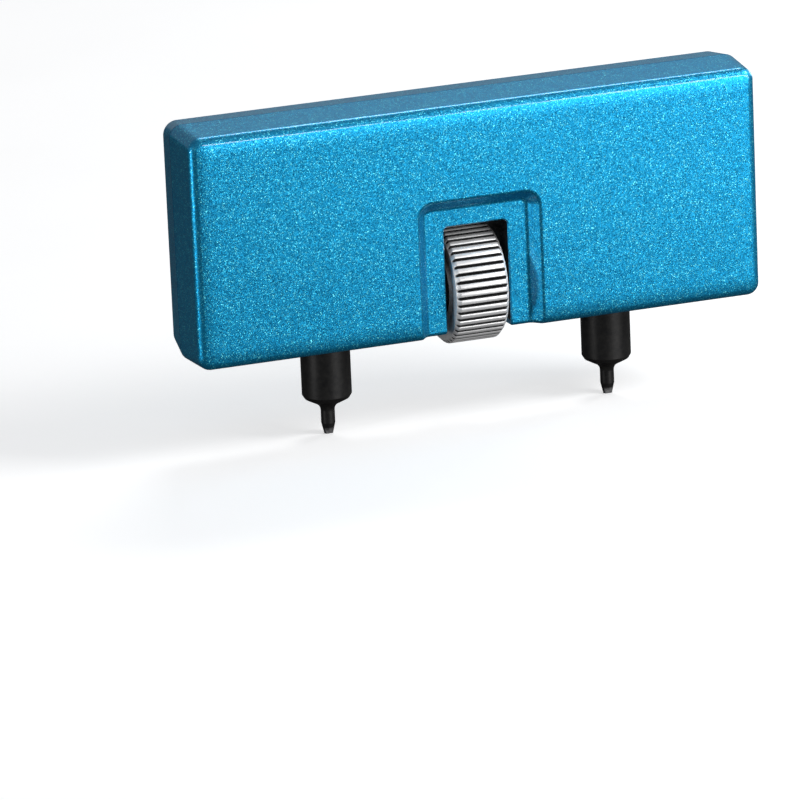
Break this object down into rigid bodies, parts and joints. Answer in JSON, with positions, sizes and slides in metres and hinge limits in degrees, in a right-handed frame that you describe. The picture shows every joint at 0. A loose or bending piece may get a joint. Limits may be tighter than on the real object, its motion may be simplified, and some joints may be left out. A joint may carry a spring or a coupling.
{
  "type": "adjustable case back opener",
  "caption": "Flat painted hand tool with a knurled thumbwheel whose spindle moves a pair of steel claws apart or together to fit the notches of a screw-down case back.",
  "frame": {"origin": "midway between the claw tips, in the plane of the tips", "axes": "+X along the body towards the right-hand claw, +Y from the front shell to the rear shell, +Z from the claw tips up to the body"},
  "size_m": [0.08, 0.0158, 0.0449],
  "materials": {
    "blue_paint": "metallic sparkle paint",
    "wheel_chrome": "bright plated",
    "black_steel": "black oxide, satin",
    "block_steel": "milled",
    "screw_steel": "turned",
    "zinc_screw_steel": "zinc plated",
    "bush_brass": "turned"
  },
  "bodies": {
    "housing": {"front_shell": "blue_paint", "rear_shell": "blue_paint", "upper_left_case_screw": "zinc_screw_steel", "upper_right_case_screw": "zinc_screw_steel", "lower_left_case_screw": "zinc_screw_steel", "lower_right_case_screw": "zinc_screw_steel", "left_locating_pin": "screw_steel", "right_locating_pin": "screw_steel", "left_end_bush": "bush_brass", "right_end_bush": "bush_brass"},
    "drive": {"thumbwheel": "wheel_chrome", "lead_screw": "screw_steel", "wheel_key_pin": "screw_steel", "left_wheel_washer": "black_steel", "right_wheel_washer": "black_steel", "left_end_clip": "screw_steel", "right_end_clip": "screw_steel"},
    "left_jaw": {"left_jaw_block": "block_steel", "left_claw": "black_steel", "left_claw_lock_screw": "black_steel"},
    "right_jaw": {"right_jaw_block": "block_steel", "right_claw": "black_steel", "right_claw_lock_screw": "black_steel"}
  },
  "joints": [
    {"name": "thumbwheel_turn", "type": "hinge", "parent": "housing", "child": "drive", "pos_m": [0, 0, 0.0183], "axis": [1, 0, 0], "range_deg": [-4140, 3240]},
    {"name": "left_jaw_slide", "type": "slide", "parent": "housing", "child": "left_jaw", "axis": [-1, 0, 0], "range_m": [-0.0092, 0.0072]},
    {"name": "right_jaw_slide", "type": "slide", "parent": "housing", "child": "right_jaw", "axis": [1, 0, 0], "range_m": [-0.0092, 0.0072]}
  ],
  "couplings": [
    {"joint": "left_jaw_slide", "follows": "thumbwheel_turn", "m_per_rad": 0.00012732},
    {"joint": "right_jaw_slide", "follows": "thumbwheel_turn", "m_per_rad": 0.00012732}
  ]
}
